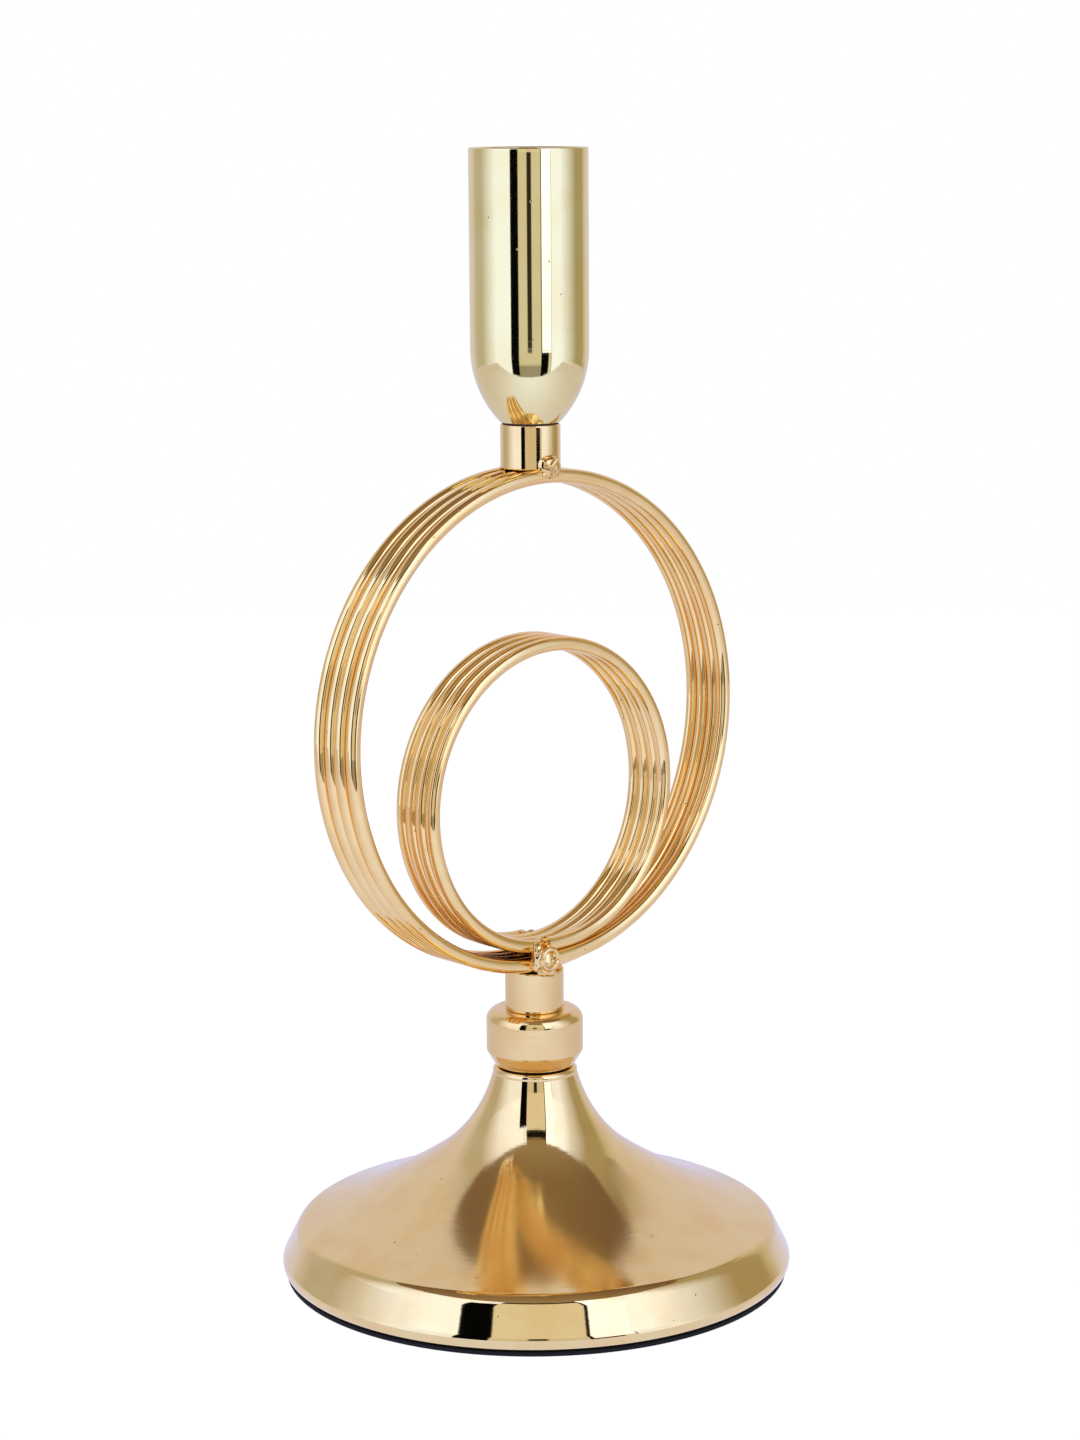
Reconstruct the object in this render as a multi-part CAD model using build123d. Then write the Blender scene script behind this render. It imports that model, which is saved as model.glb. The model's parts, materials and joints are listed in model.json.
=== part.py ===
from build123d import *
import math
import os

# Spiral candle holder: a candle cup on a stem of two wound wire coils, screwed to a spun sheet base.
# Millimetres, +Z up. The origin is the middle of the pad's underside and the coils' common axis runs along Y.

# Threads and fits
thread_diameter = 6.0
fit_clearance = 0.05  # on the radius, of a stud in its thread and of a spigot in its bore
hole_clearance = 0.3  # on the radius, of a plain hole round a stud
nut_width = 10.0  # across flats
nut_height = 5.0
thin_nut_height = 3.2
nut_chamfer = 0.5
end_chamfer = 0.25  # on the ends of posts and studs

# Candle cup
socket_diameter = 22.0  # a taper candle's size
socket_depth = 39.2  # of the straight wall
cup_wall = 0.8
bowl_radius = 21.0  # of the round between the straight wall and the seat
rim_round = 0.3
bush_diameter = 9.6
bush_length = 6.5
cup_washer_thickness = 0.4
cup_washer_inset = 0.4  # how far the washer stays behind the post's side

# Posts and the stud under the cup
post_diameter = 12.0
upper_post_height = 9.1
lower_post_height = 8.45  # above the collar
spigot_diameter = 9.0
spigot_length = 6.95
cup_stud_grip = 6.5  # length in the post
cup_stud_reach = 7.0  # length above the post
tap_overrun = 0.8  # a tapped hole is this much deeper than its stud

# Coils
wire_diameter = 2.7
turn_gap = 0.42
coil_turns = 4
quarters_per_turn = 4
top_turn_share = 0.5  # of a turn, from a wire's end at the bottom to the top
large_coil_diameter = 99.3  # to the middle of the wire
small_coil_diameter = 62.5
small_coil_shift = 1.0  # of the small coil along X, out of the middle
coil_gap = 0.5  # between the coils at the bottom, filled by the welds
root_gap = 0.1  # between a post's end and the coil, filled by the welds

# Welds, each a few round lumps
top_weld_radius = 2.5
top_weld_sink = 0.9  # how far its middle lies inside the post's side
end_weld_radius = 2.8
foot_weld_radius = 1.9
foot_weld_drop = 0.5  # how far the lower lump's middle lies under the post's end

# Collar and its washer
collar_diameter = 19.8
collar_height = 11.65
collar_top_round = 2.3
collar_foot_round = 2.6
nut_room = 0.4  # round the thin nut in the collar's recess
recess_depth = 4.4
stem_washer_thickness = 0.4
stem_washer_width = 1.4

# Base
base_diameter = 105.0
base_height = 42.6
sheet = 0.8
bend_radius = 0.6  # inside the sheet's bend at the foot of the neck
neck_bend_radius = 0.15  # inside the sharper bend at the top of the neck
neck_diameter = 17.3
neck_height = 1.3  # of the straight neck
neck_slope = 76.0  # degrees from level, where the flare leaves the straight neck
flare_radius = 30.0
flare_slope = 35.0  # degrees from level, where the neck's round passes into the wide round
rim_height = 9.95
rim_slope = 63.5  # degrees from level
crease_bend_radius = 3.2  # inside the sheet, where the flare passes into the rim
rim_bend_radius = 1.4  # inside the sheet, at the rim's foot
flange_width = 5.0
pad_thickness = 0.8
pad_inset = 0.85

# Fasteners inside the base
base_stud_reach = 11.5  # above the neck
stud_tail = 1.0  # below the lower nut
washer_diameter = 12.0
washer_thickness = 1.6
spring_washer_diameter = 11.8
spring_washer_thickness = 1.6
spring_washer_slot = 0.9
spring_washer_slant = 20.0  # degrees

# How near a corner has to lie to the point that names it
match_distance = 0.01

# Radii and heights worked out from the sizes above, from the pad up
wire_radius = wire_diameter / 2
post_radius = post_diameter / 2
stud_radius = thread_diameter / 2
tapped_radius = stud_radius + fit_clearance
hole_radius = stud_radius + hole_clearance
socket_radius = socket_diameter / 2
cup_radius = socket_radius + cup_wall
collar_radius = collar_diameter / 2
base_radius = base_diameter / 2
large_coil_radius = large_coil_diameter / 2
small_coil_radius = small_coil_diameter / 2
nut_corner_radius = nut_width / math.sqrt(3)
recess_radius = nut_corner_radius + nut_room
coil_pitch = wire_diameter + turn_gap

base_z = pad_thickness
neck_z = base_z + base_height
collar_z = neck_z + stem_washer_thickness
lower_post_z = collar_z + collar_height
lower_post_end_z = lower_post_z + lower_post_height
large_coil_z = lower_post_end_z + root_gap + wire_radius + large_coil_radius
small_coil_z = large_coil_z - large_coil_radius + wire_diameter + coil_gap + small_coil_radius
upper_post_z = large_coil_z + large_coil_radius + wire_radius + root_gap
upper_post_end_z = upper_post_z + upper_post_height
cup_z = upper_post_end_z + cup_washer_thickness
bowl_drop = math.sqrt(bowl_radius**2 - (bowl_radius - cup_radius + post_radius) ** 2)
socket_z = cup_z + bowl_drop
cup_rim_z = socket_z + socket_depth


def slope_direction(degrees):
    """Downhill and outward, at an angle from level."""
    angle = math.radians(degrees)
    return Vector(math.cos(angle), -math.sin(angle))


def is_at(vertex, point):
    return (Vector(vertex) - Vector(*point)).length < match_distance


def corners(face, *points):
    """The face's vertices at the given points."""
    return [v for v in face.vertices() if any(is_at(v, p) for p in points)]


def turned(face):
    """A face of radius and height, turned about Z."""
    return revolve(Plane.XZ * face, Axis.Z)


def ring(inner_radius, outer_radius, bottom_z, height):
    """A plain ring about Z."""
    profile = Polyline(
        (inner_radius, bottom_z),
        (outer_radius, bottom_z),
        (outer_radius, bottom_z + height),
        (inner_radius, bottom_z + height),
        close=True,
    )
    return turned(make_face(profile))


def bar(radius, bottom_z, height):
    """A plain round bar about Z."""
    return Pos(0, 0, bottom_z) * Cylinder(radius, height, align=(Align.CENTER, Align.CENTER, Align.MIN))


def rod(radius, bottom_z, height, edge=end_chamfer):
    """A round bar about Z with chamfered ends."""
    plain = bar(radius, bottom_z, height)
    return chamfer(plain.edges().filter_by(GeomType.CIRCLE), edge)


# Candle cup: a drawn shell with a straight socket, a bowl and a flat seat
def make_candle_cup():
    bowl_centre_r = cup_radius - bowl_radius
    inner_bowl = bowl_radius - cup_wall
    floor_z = cup_z + cup_wall
    floor_r = bowl_centre_r + math.sqrt(inner_bowl**2 - (bowl_drop - cup_wall) ** 2)
    profile = Curve() + [
        Line((hole_radius, cup_z), (post_radius, cup_z)),
        TangentArc((cup_radius, socket_z), (post_radius, cup_z), tangent=(0, -1)),
        Line((cup_radius, socket_z), (cup_radius, cup_rim_z)),
        Line((cup_radius, cup_rim_z), (socket_radius, cup_rim_z)),
        Line((socket_radius, cup_rim_z), (socket_radius, socket_z)),
        TangentArc((socket_radius, socket_z), (floor_r, floor_z), tangent=(0, -1)),
        Line((floor_r, floor_z), (hole_radius, floor_z)),
        Line((hole_radius, floor_z), (hole_radius, cup_z)),
    ]
    face = make_face(profile)
    rim = corners(face, (cup_radius, cup_rim_z), (socket_radius, cup_rim_z))
    return turned(fillet(rim, rim_round))


def make_cup_bush():
    return ring(tapped_radius, bush_diameter / 2, cup_z + cup_wall, bush_length)


def make_cup_washer():
    return ring(hole_radius, post_radius - cup_washer_inset, upper_post_end_z, cup_washer_thickness)


def make_cup_stud():
    return rod(stud_radius, upper_post_end_z - cup_stud_grip, cup_stud_grip + cup_stud_reach)


# Posts: round bars, tapped for the studs
def make_upper_post():
    tap_depth = cup_stud_grip + tap_overrun
    tap = bar(tapped_radius, upper_post_end_z - tap_depth, tap_depth)
    return rod(post_radius, upper_post_z, upper_post_height) - tap


def make_lower_post():
    spigot_z = lower_post_z - spigot_length
    spigot = rod(spigot_diameter / 2 - fit_clearance, spigot_z, spigot_length + lower_post_height)
    tap_depth = neck_z + base_stud_reach + tap_overrun - spigot_z
    tap = bar(tapped_radius, spigot_z, tap_depth)
    return rod(post_radius, lower_post_z, lower_post_height) + spigot - tap


# Coils: each is one wire wound in turns about Y, with both ends at the bottom
def wire_spot(radius, middle_z, turn):
    """Where the wire's middle is after some turns, and which way it runs."""
    angle = math.tau * turn
    spot = Vector(
        radius * math.sin(angle),
        coil_pitch * (turn - coil_turns / 2),
        middle_z - radius * math.cos(angle),
    )
    way = Vector(radius * math.cos(angle), coil_pitch / math.tau, radius * math.sin(angle))
    return spot, way.normalized()


def biarc(start, start_way, end, end_way):
    """Two arcs that leave the start and reach the end in the given directions, and join smoothly."""
    chord = end - start
    along = chord.dot(start_way + end_way)
    turning = 1 - start_way.dot(end_way)
    reach = (math.sqrt(along**2 + 2 * turning * chord.dot(chord)) - along) / (2 * turning)
    first_corner = start + start_way * reach
    second_corner = end - end_way * reach
    join = (first_corner + second_corner) / 2
    return [
        TangentArc(start, join, tangent=start_way),
        TangentArc(join, end, tangent=second_corner - first_corner),
    ]


def coil_path(radius, middle_z):
    stops = [
        wire_spot(radius, middle_z, quarter / quarters_per_turn)
        for quarter in range(coil_turns * quarters_per_turn + 1)
    ]
    arcs = []
    for (start, start_way), (end, end_way) in zip(stops, stops[1:]):
        arcs += biarc(start, start_way, end, end_way)
    return Wire(arcs)


def least_gap(path, spots_per_turn=48):
    """The least air between turns, on points along the wire's middle that are half a turn or more apart."""
    count = coil_turns * spots_per_turn
    spots = [path @ (index / count) for index in range(count + 1)]
    apart = spots_per_turn // 2
    nearest = min((a - b).length for index, a in enumerate(spots) for b in spots[index + apart :])
    return nearest - wire_diameter


def make_coil(name, radius, middle_z):
    path = coil_path(radius, middle_z)
    section = Plane(origin=path @ 0, z_dir=path % 0) * Circle(wire_radius)
    coil = sweep(section, path=path)
    volume_share = coil.volume / (math.pi * wire_radius**2 * path.length)
    print(f"{name}: wire {path.length:.1f} mm, least gap {least_gap(path):.3f} mm")
    print(f"{name}: volume over section times length {volume_share:.5f}")
    return coil


# Welds: round lumps, cut to the pieces that they join, in front of the coil's outer turn. The spheres' poles
# point along Y, clear of the posts' sides.
def weld(lumps, neighbours, back_y):
    bead = Part() + [Pos(*spot) * Rot(90, 0, 0) * Sphere(radius) for spot, radius in lumps]
    for neighbour in neighbours:
        bead = bead - neighbour
    bead = split(bead, bisect_by=Plane(origin=(0, back_y, 0), z_dir=(0, -1, 0)), keep=Keep.TOP)
    return Part() + [bead.solids().sort_by(SortBy.VOLUME)[-1]]


def make_top_weld(upper_post, large_coil):
    lumps = [((0, top_weld_sink - post_radius, upper_post_z), top_weld_radius)]
    front_wire_y = coil_pitch * (top_turn_share - coil_turns / 2)
    return weld(lumps, [upper_post, large_coil], front_wire_y)


def make_bottom_weld(lower_post, large_coil, small_coil):
    wire_end_y = -coil_pitch * coil_turns / 2
    between_coils_z = large_coil_z - large_coil_radius + wire_radius
    lumps = [
        ((0, wire_end_y, between_coils_z), end_weld_radius),
        ((0, -post_radius, lower_post_end_z - foot_weld_drop), foot_weld_radius),
    ]
    return weld(lumps, [lower_post, large_coil, small_coil], wire_end_y + coil_pitch / 2)


# Collar: a turned ring that is pressed on the lower post's spigot and hides the thin nut
def make_collar():
    recess_z = collar_z + recess_depth
    top_z = collar_z + collar_height
    bore_radius = spigot_diameter / 2
    profile = Polyline(
        (recess_radius, collar_z),
        (collar_radius, collar_z),
        (collar_radius, top_z),
        (bore_radius, top_z),
        (bore_radius, recess_z),
        (recess_radius, recess_z),
        close=True,
    )
    face = make_face(profile)
    face = fillet(corners(face, (collar_radius, top_z)), collar_top_round)
    return turned(fillet(corners(face, (collar_radius, collar_z)), collar_foot_round))


def make_stem_washer():
    return ring(recess_radius, recess_radius + stem_washer_width, neck_z, stem_washer_thickness)


# Base: one spun sheet with a neck, a trumpet flare, a bevelled rim and a turned-in flange
def make_base_shell():
    crease_round = crease_bend_radius + sheet
    rim_foot_round = rim_bend_radius + sheet
    rim_turn = math.radians(180 - rim_slope)
    rim_corner = Vector(base_radius + rim_foot_round * (math.tan(rim_turn / 2) - 1), base_z)
    crease = rim_corner + Vector(-rim_height / math.tan(math.radians(rim_slope)), rim_height)
    neck_hole = Vector(hole_radius, neck_z)
    neck_top = Vector(neck_diameter / 2, neck_z)
    neck_foot = Vector(neck_diameter / 2, neck_z - neck_height)
    flange_end = Vector(base_radius - flange_width, base_z)
    inside = Vector(hole_radius, base_z + sheet)
    flare = JernArc(neck_foot, slope_direction(neck_slope), flare_radius, neck_slope - flare_slope)
    plate = TangentArc(flare @ 1, crease, tangent=slope_direction(flare_slope))
    outline = Curve() + [
        Line(neck_hole, neck_top),
        Line(neck_top, neck_foot),
        flare,
        plate,
        Line(crease, rim_corner),
        Line(rim_corner, flange_end),
        Line(flange_end, inside),
        Line(inside, neck_hole),
    ]
    face = make_face(outline)
    face = fillet(corners(face, neck_top), neck_bend_radius + sheet)
    face = fillet(corners(face, neck_foot), bend_radius)
    face = fillet(corners(face, crease), crease_round)
    face = fillet(corners(face, rim_corner), rim_foot_round)
    skin = [e for e in face.edges() if not any(is_at(v, inside) for v in e.vertices())]
    return turned(make_face(offset(Wire(skin), sheet, side=Side.LEFT, kind=Kind.INTERSECTION).edges()))


def make_base_pad():
    return bar(base_radius - pad_inset, 0, pad_thickness)


# Fasteners inside the base
washer_z = neck_z - sheet - washer_thickness
spring_washer_z = washer_z - spring_washer_thickness
lower_nut_z = spring_washer_z - nut_height


def make_nut(bottom_z, height):
    blank = extrude(RegularPolygon(nut_corner_radius, 6), height) - Cylinder(tapped_radius, 2 * height)
    return Pos(0, 0, bottom_z) * (blank & rod(nut_corner_radius, 0, height, nut_chamfer))


def make_base_stud():
    bottom_z = lower_nut_z - stud_tail
    return rod(stud_radius, bottom_z, neck_z + base_stud_reach - bottom_z)


def make_base_washer():
    return ring(hole_radius, washer_diameter / 2, washer_z, washer_thickness)


def make_base_spring_washer():
    coil = ring(hole_radius, spring_washer_diameter / 2, spring_washer_z, spring_washer_thickness)
    middle_z = spring_washer_z + spring_washer_thickness / 2
    slot = Box(
        spring_washer_diameter,
        spring_washer_slot,
        washer_diameter,
        align=(Align.MIN, Align.CENTER, Align.CENTER),
    )
    return coil - Pos(0, 0, middle_z) * Rot(spring_washer_slant, 0, 0) * slot


upper_post = make_upper_post()
lower_post = make_lower_post()
large_coil = make_coil("large_coil", large_coil_radius, large_coil_z)
small_coil = Pos(small_coil_shift, 0, 0) * make_coil("small_coil", small_coil_radius, small_coil_z)
top_weld = make_top_weld(upper_post, large_coil)
to_the_rear = Rot(0, 0, 180)
bottom_front_weld = make_bottom_weld(lower_post, large_coil, small_coil)
bottom_rear_weld = make_bottom_weld(lower_post, large_coil, to_the_rear * small_coil)

nodes = {
    "candle_cup": make_candle_cup(),
    "cup_bush": make_cup_bush(),
    "cup_washer": make_cup_washer(),
    "cup_stud": make_cup_stud(),
    "upper_post": upper_post,
    "top_front_weld": top_weld,
    "top_rear_weld": to_the_rear * top_weld,
    "large_coil": large_coil,
    "small_coil": small_coil,
    "bottom_front_weld": bottom_front_weld,
    "bottom_rear_weld": to_the_rear * bottom_rear_weld,
    "lower_post": lower_post,
    "collar": make_collar(),
    "stem_washer": make_stem_washer(),
    "base_shell": make_base_shell(),
    "base_pad": make_base_pad(),
    "base_stud": make_base_stud(),
    "base_upper_nut": make_nut(neck_z, thin_nut_height),
    "base_washer": make_base_washer(),
    "base_spring_washer": make_base_spring_washer(),
    "base_lower_nut": make_nut(lower_nut_z, nut_height),
}

os.makedirs("parts", exist_ok=True)
for name, solid in nodes.items():
    export_step(solid, f"parts/{name}.step")
print(f"{len(nodes)} nodes, {cup_rim_z:.1f} mm tall")
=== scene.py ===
# %% [markdown]
# # A spiral candle holder
# A straight candle cup stands on two hoops of wound wire, and the hoops stand on a flared base of spun
# sheet. All of it is iron with a thin bright gold plating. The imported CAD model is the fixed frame, so
# it is loaded first: each piece below is drawn in the same place, in metres, and rides on one of its
# bodies. Lengths in this lesson are written in millimetres, as on a drawing, and turned to metres where
# a mesh is made.

# %% Load the frame
import json
import math

import bmesh
import bpy
from mathutils import Matrix, Vector, noise


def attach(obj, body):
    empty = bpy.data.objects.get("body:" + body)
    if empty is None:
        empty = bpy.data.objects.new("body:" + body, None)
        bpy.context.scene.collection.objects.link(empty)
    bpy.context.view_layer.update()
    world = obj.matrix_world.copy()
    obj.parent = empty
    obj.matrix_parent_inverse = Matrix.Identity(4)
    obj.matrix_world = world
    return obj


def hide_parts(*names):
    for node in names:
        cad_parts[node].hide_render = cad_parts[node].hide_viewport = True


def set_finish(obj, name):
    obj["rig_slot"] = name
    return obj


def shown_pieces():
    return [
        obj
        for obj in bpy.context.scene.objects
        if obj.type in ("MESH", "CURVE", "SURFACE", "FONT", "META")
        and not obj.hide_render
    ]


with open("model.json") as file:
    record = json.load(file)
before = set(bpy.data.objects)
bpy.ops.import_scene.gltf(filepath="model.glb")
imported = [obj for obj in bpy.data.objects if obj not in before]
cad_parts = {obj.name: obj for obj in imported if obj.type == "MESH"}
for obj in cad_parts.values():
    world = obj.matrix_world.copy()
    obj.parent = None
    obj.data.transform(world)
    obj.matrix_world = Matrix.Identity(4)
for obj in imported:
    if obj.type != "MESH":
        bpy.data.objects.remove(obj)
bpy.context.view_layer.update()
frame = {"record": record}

MM = 0.001

# %% [markdown]
# ## The camera
# The camera stands where the photograph's stood. Its place was worked out from the base's ellipse, the
# cup's sides and the hoops: about 66 cm away, a little above the cup, looking down by ten degrees. A
# long lens of 83 mm on a 36 mm picture height keeps the cup's sides parallel. A camera is placed best
# by a matrix: turn to the azimuth, tip down from level, and roll by the part of a degree that the stem
# leans in the picture.

# %% Camera
CAMERA_AZIMUTH = math.radians(-41.59)  # seen from above, from the -Y side towards +X
CAMERA_DISTANCE = 0.6567
CAMERA_HEIGHT = 0.2368
CAMERA_YAW = math.radians(0.133)
CAMERA_TILT = math.radians(10.48)
CAMERA_ROLL = math.radians(0.40)
LENS = 82.75
PICTURE_HEIGHT = 36

camera_data = bpy.data.cameras.new("camera")
camera_data.lens = LENS
camera_data.sensor_width = PICTURE_HEIGHT
camera = bpy.data.objects.new("camera", camera_data)
bpy.context.scene.collection.objects.link(camera)
place = (
    math.sin(CAMERA_AZIMUTH) * CAMERA_DISTANCE,
    -math.cos(CAMERA_AZIMUTH) * CAMERA_DISTANCE,
    CAMERA_HEIGHT,
)
camera.matrix_world = (
    Matrix.Translation(place)
    @ Matrix.Rotation(CAMERA_AZIMUTH - CAMERA_YAW, 4, "Z")
    @ Matrix.Rotation(math.pi / 2 - CAMERA_TILT, 4, "X")
    @ Matrix.Rotation(-CAMERA_ROLL, 4, "Z")
)
bpy.context.scene.camera = camera
bpy.context.scene.view_settings.view_transform = "Standard"
print("camera at", tuple(round(v, 3) for v in place))

# %% [markdown]
# ## Turned pieces
# The cup, the posts, the collar, the base and its pad are all round about the stem: on the real holder
# they are turned on a lathe, drawn or spun. One outline of radius and height, turned about Z, makes
# each of them. The outline's corners are rounded first, because a real edge always catches a thin line
# of light. A spin in many narrow steps keeps mirror-bright metal free of facets. Each point also
# remembers its place in the grain of the metal: how far along the outline it lies, and a little of
# where it lies round the piece. A pattern that is drawn in this grain comes out as fine lines round the
# piece, as a tool leaves them.

# %% Outline and lathe helpers
ROUND_SHARE = 0.03  # of the way round that counts in the grain, so that lines are long but not endless
SUPPORT = 0.06  # a ring this near each rounding keeps the wall beside it flat in the light


def rounded(corners, steps=8):
    """Outline points through (radius, height, rounding) corners, in millimetres."""
    points = []
    for index, (r, z, rounding) in enumerate(corners):
        here = Vector((r, z))
        if not rounding:
            points.append(here)
            continue
        back = (Vector(corners[index - 1][:2]) - here).normalized()
        ahead = (Vector(corners[(index + 1) % len(corners)][:2]) - here).normalized()
        half = back.angle(ahead) / 2
        middle = here + (back + ahead).normalized() * rounding / math.sin(half)
        reach = rounding / math.tan(half)
        start = here + back * reach - middle
        end = here + ahead * reach - middle
        sweep = start.angle_signed(end)
        points.append(here + back * (reach + SUPPORT))
        points += [middle + Matrix.Rotation(-sweep * k / steps, 2) @ start for k in range(steps + 1)]
        points.append(here + ahead * (reach + SUPPORT))
    return points


def arc(centre, radius, start, end, steps):
    """Outline points on an arc from one angle to another, in degrees, left out at its end."""
    turns = [math.radians(start + (end - start) * k / steps) for k in range(steps)]
    return [Vector((centre[0] + radius * math.cos(a), centre[1] + radius * math.sin(a))) for a in turns]


def finish_piece(name, mesh, sharp_angle=35):
    """Smooth shading with sharp edges, and an object in the scene."""
    mesh.shade_smooth()
    mesh.set_sharp_from_angle(angle=math.radians(sharp_angle))
    piece = bpy.data.objects.new(name, mesh)
    bpy.context.scene.collection.objects.link(piece)
    return piece


def from_bmesh(name, shape):
    """The finished bmesh as a piece, with its faces turned outwards."""
    bmesh.ops.recalc_face_normals(shape, faces=shape.faces)
    mesh = bpy.data.meshes.new(name)
    shape.to_mesh(mesh)
    shape.free()
    return finish_piece(name, mesh)


def lathe(name, outline, steps=256):
    """A closed outline in millimetres, turned about Z into a mesh in metres."""
    shape = bmesh.new()
    grain = shape.verts.layers.float_vector.new("grain")
    along = 0
    rings = []
    for index, point in enumerate(outline):
        along += (point - outline[index - 1]).length if index else 0
        turns = [math.tau * k / steps for k in range(steps)] if point.x > 1e-4 else [0]
        ring = []
        for a in turns:
            x, y = point.x * math.cos(a), point.x * math.sin(a)
            vertex = shape.verts.new(Vector((x, y, point.y)) * MM)
            vertex[grain] = (along, ROUND_SHARE * x, ROUND_SHARE * y)
            ring.append(vertex)
        rings.append(ring)
    for ring, after in zip(rings, rings[1:] + rings[:1]):
        if len(ring) == len(after) == 1:
            continue
        for k in range(steps):
            quad = [ring[k % len(ring)], ring[(k + 1) % len(ring)]]
            quad += [after[(k + 1) % len(after)], after[k % len(after)]]
            shape.faces.new(list(dict.fromkeys(quad)))
    return from_bmesh(name, shape)


def dress(piece, body, slot, *nodes):
    """The piece rides on a body, takes its finish from a slot of the record, and stands for CAD nodes."""
    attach(piece, body)
    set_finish(piece, slot)
    if nodes:
        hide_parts(*nodes)
    print(piece.name, "rides on", body, "with", len(piece.data.polygons), "faces")
    return piece


# %% [markdown]
# ## The candle cup
# The cup is drawn from thin sheet: a straight socket for a 22 mm candle, a bowl-shaped foot, and a flat
# seat with a hole for the stud. The outline goes up the outside, over the rounded rim and down the
# inside, so the cup is a real shell with an open socket. A small threaded bush stands on its floor,
# seen from above.

# %% Candle cup
POST_R = 6.0
CUP_R = 11.8
SOCKET_R = 11.0
CUP_WALL = CUP_R - SOCKET_R
CUP_SEAT_Z = 175.6
CUP_RIM_Z = 229.29
BOWL_R = 21.0
STUD_HOLE_R = 3.3
SEAT_INSET = 0.3
WALL_RINGS = 20

bowl_centre = (CUP_R - BOWL_R, CUP_SEAT_Z + math.sqrt(BOWL_R**2 - (BOWL_R - CUP_R + POST_R) ** 2))
bowl_start = math.degrees(math.atan2(CUP_SEAT_Z - bowl_centre[1], POST_R - bowl_centre[0]))
inner_bowl_r = BOWL_R - CUP_WALL
cup_floor_z = CUP_SEAT_Z + CUP_WALL
inner_end = math.degrees(math.asin((cup_floor_z - bowl_centre[1]) / inner_bowl_r))
rim_round = CUP_WALL / 2
rim_centre = (SOCKET_R + rim_round, CUP_RIM_Z - rim_round)
wall_height = rim_centre[1] - bowl_centre[1]
wall_heights = [bowl_centre[1] + wall_height * k / WALL_RINGS for k in range(WALL_RINGS)]

cup_outline = [Vector((STUD_HOLE_R, CUP_SEAT_Z)), Vector((POST_R - SEAT_INSET, CUP_SEAT_Z))]
cup_outline += arc(bowl_centre, BOWL_R, bowl_start, 0, 40)
cup_outline += [Vector((CUP_R, z)) for z in wall_heights]
cup_outline += arc(rim_centre, rim_round, 0, 180, 12)
cup_outline += [Vector((SOCKET_R, z)) for z in reversed(wall_heights[1:])]
cup_outline += arc(bowl_centre, inner_bowl_r, 0, inner_end, 30)
cup_outline += [Vector((STUD_HOLE_R, cup_floor_z))]
cup_shell = dress(lathe("cup_shell", cup_outline), "cup", "cup_gold", "candle_cup")

# %% Threaded bush in the cup
TAP_R = 3.05
BUSH_R = 4.8
BUSH_TOP = 182.9

bush_corners = [
    (TAP_R, cup_floor_z, 0),
    (BUSH_R, cup_floor_z, 0),
    (BUSH_R, BUSH_TOP, 0.6),
    (TAP_R, BUSH_TOP, 0.5),
]
cup_bush = dress(lathe("cup_bush_ring", rounded(bush_corners), 96), "cup", "cup_gold", "cup_bush")

# %% [markdown]
# ## Posts and collar
# Two short lengths of round bar carry the hoops. The collar is a turned ring with a rounded shoulder
# and a foot that slopes in to the neck. Fine rings left by the turning tool show on it, and come from
# its finish. A thin washer of dark fibre lies between the collar and the neck, and shows as a black
# line in the seam.

# %% Posts and collar
UPPER_POST_Z = 166.4
UPPER_POST_TOP = 175.2
UPPER_TAP_Z = 167.9
LOWER_POST_Z = 55.45
LOWER_POST_TOP = 63.9
LOWER_TAP_TOP = 55.7
SPIGOT_Z = 48.5
SPIGOT_R = 4.45
COLLAR_R = 9.9
COLLAR_BORE_R = 4.5
COLLAR_Z = 43.8
COLLAR_FOOT_R = 8.1
COLLAR_EDGE_Z = 46.8
COLLAR_RECESS_R = 6.17
COLLAR_RECESS_Z = 48.2

upper_post_corners = [
    (0, UPPER_POST_Z, 0),
    (POST_R, UPPER_POST_Z, 0.3),
    (POST_R, UPPER_POST_TOP, 0.25),
    (TAP_R, UPPER_POST_TOP, 0),
    (TAP_R, UPPER_TAP_Z, 0),
    (0, UPPER_TAP_Z, 0),
]
upper_post = dress(lathe("upper_post_bar", rounded(upper_post_corners)), "stem", "stem_gold", "upper_post")

lower_post_corners = [
    (TAP_R, SPIGOT_Z, 0),
    (SPIGOT_R, SPIGOT_Z, 0.2),
    (SPIGOT_R, LOWER_POST_Z, 0),
    (POST_R, LOWER_POST_Z, 0.25),
    (POST_R, LOWER_POST_TOP, 0.3),
    (0, LOWER_POST_TOP, 0),
    (0, LOWER_TAP_TOP, 0),
    (TAP_R, LOWER_TAP_TOP, 0),
]
lower_post = dress(lathe("lower_post_bar", rounded(lower_post_corners)), "stem", "stem_gold", "lower_post")

collar_corners = [
    (COLLAR_RECESS_R, COLLAR_Z, 0),
    (COLLAR_FOOT_R, COLLAR_Z, 0.3),
    (COLLAR_R, COLLAR_EDGE_Z, 1.3),
    (COLLAR_R, LOWER_POST_Z, 2.3),
    (COLLAR_BORE_R, LOWER_POST_Z, 0),
    (COLLAR_BORE_R, COLLAR_RECESS_Z, 0),
    (COLLAR_RECESS_R, COLLAR_RECESS_Z, 0),
]
collar = dress(lathe("turned_collar", rounded(collar_corners, 16)), "stem", "stem_gold", "collar")

# %% Washer in the seam
SEAM_WASHER_R = 6.6
NECK_Z = 43.4  # the top of the base's neck, which the washer lies on

washer_corners = [
    (STUD_HOLE_R, NECK_Z, 0),
    (SEAM_WASHER_R, NECK_Z, 0),
    (SEAM_WASHER_R, COLLAR_Z, 0),
    (STUD_HOLE_R, COLLAR_Z, 0),
]
seam_washer = dress(lathe("seam_washer", rounded(washer_corners), 96), "stem_seat", "fibre", "stem_washer")

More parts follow.
